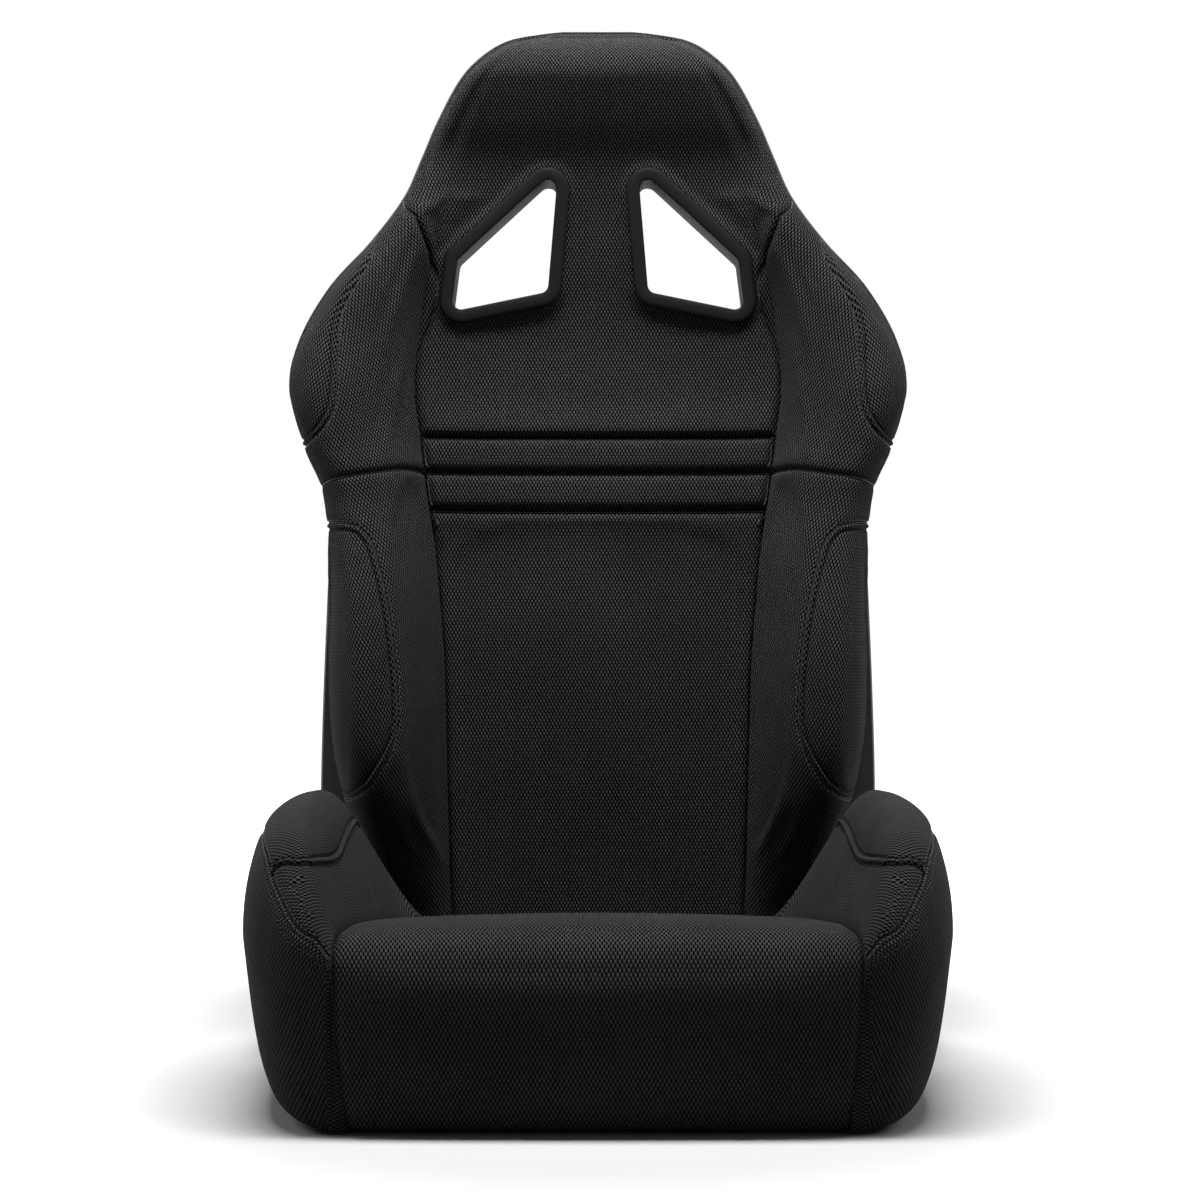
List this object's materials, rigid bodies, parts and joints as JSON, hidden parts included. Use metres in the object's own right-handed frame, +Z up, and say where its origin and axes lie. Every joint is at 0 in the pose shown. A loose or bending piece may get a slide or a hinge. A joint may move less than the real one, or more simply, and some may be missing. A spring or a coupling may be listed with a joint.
{
  "type": "reclining sport bucket seat",
  "caption": "Reclining sport bucket seat with integrated headrest, harness slots, deep side bolsters, cloth covers over foam on a tube frame, and toothed recliners with release levers",
  "frame": {"origin": "centre of the four mounting holes, on the underside of the two side rails", "axes": "+X to the right seen from the front, +Y to the rear, +Z up"},
  "size_m": [0.5814, 0.6514, 0.89],
  "materials": {
    "cover_cloth": "black spacer mesh cloth",
    "foam": "moulded polyurethane foam",
    "black_steel": "black powder coat",
    "zinc_steel": "zinc plated",
    "black_plastic": "grained black plastic"
  },
  "bodies": {
    "base": {"side_rail_left": "black_steel", "side_rail_right": "black_steel", "cross_tubes": "black_steel", "weld_nuts": "zinc_steel", "seat_pan": "black_steel", "pan_bars": "black_steel", "cushion_foam": "foam", "base_bolster_foam_left": "foam", "base_bolster_foam_right": "foam", "cushion_cover": "cover_cloth", "base_bolster_cover_left": "cover_cloth", "base_bolster_cover_right": "cover_cloth", "trim_strips": "black_plastic", "recliner_plate_left": "black_steel", "recliner_plate_right": "black_steel", "recliner_shield_left": "black_plastic", "recliner_shield_right": "black_plastic", "shield_screws": "black_steel", "recline_spring_left": "zinc_steel", "recline_spring_right": "zinc_steel", "spring_pegs": "zinc_steel"},
    "backrest": {"back_hoop": "black_steel", "back_cross_bars": "black_steel", "back_wires": "zinc_steel", "recliner_arm_left": "black_steel", "recliner_arm_right": "black_steel", "pivot_bolt_left": "zinc_steel", "pivot_bolt_right": "zinc_steel", "back_centre_foam": "foam", "head_foam": "foam", "back_bolster_foam_left": "foam", "back_bolster_foam_right": "foam", "backrest_cover": "cover_cloth", "back_shell": "black_plastic", "shell_standoffs": "zinc_steel", "shell_screws": "black_steel", "slot_bezel_left": "black_plastic", "slot_bezel_right": "black_plastic", "slot_rear_bezel_left": "black_plastic", "slot_rear_bezel_right": "black_plastic"},
    "release": {"release_rod": "zinc_steel", "release_lever_left": "black_steel", "release_lever_right": "black_steel", "lever_grip_left": "black_plastic", "lever_grip_right": "black_plastic", "recliner_pawl_left": "zinc_steel", "recliner_pawl_right": "zinc_steel"}
  },
  "joints": [
    {"name": "recline", "type": "hinge", "parent": "base", "child": "backrest", "pos_m": [0, 0.205, 0.105], "axis": [-1, 0, 0], "range_deg": [-12, 60]},
    {"name": "release", "type": "hinge", "parent": "base", "child": "release", "pos_m": [0, 0.172, 0.062], "axis": [-1, 0, 0], "range_deg": [0, 25], "stiffness_Nm_per_rad": 2, "springref_deg": -17.19}
  ]
}
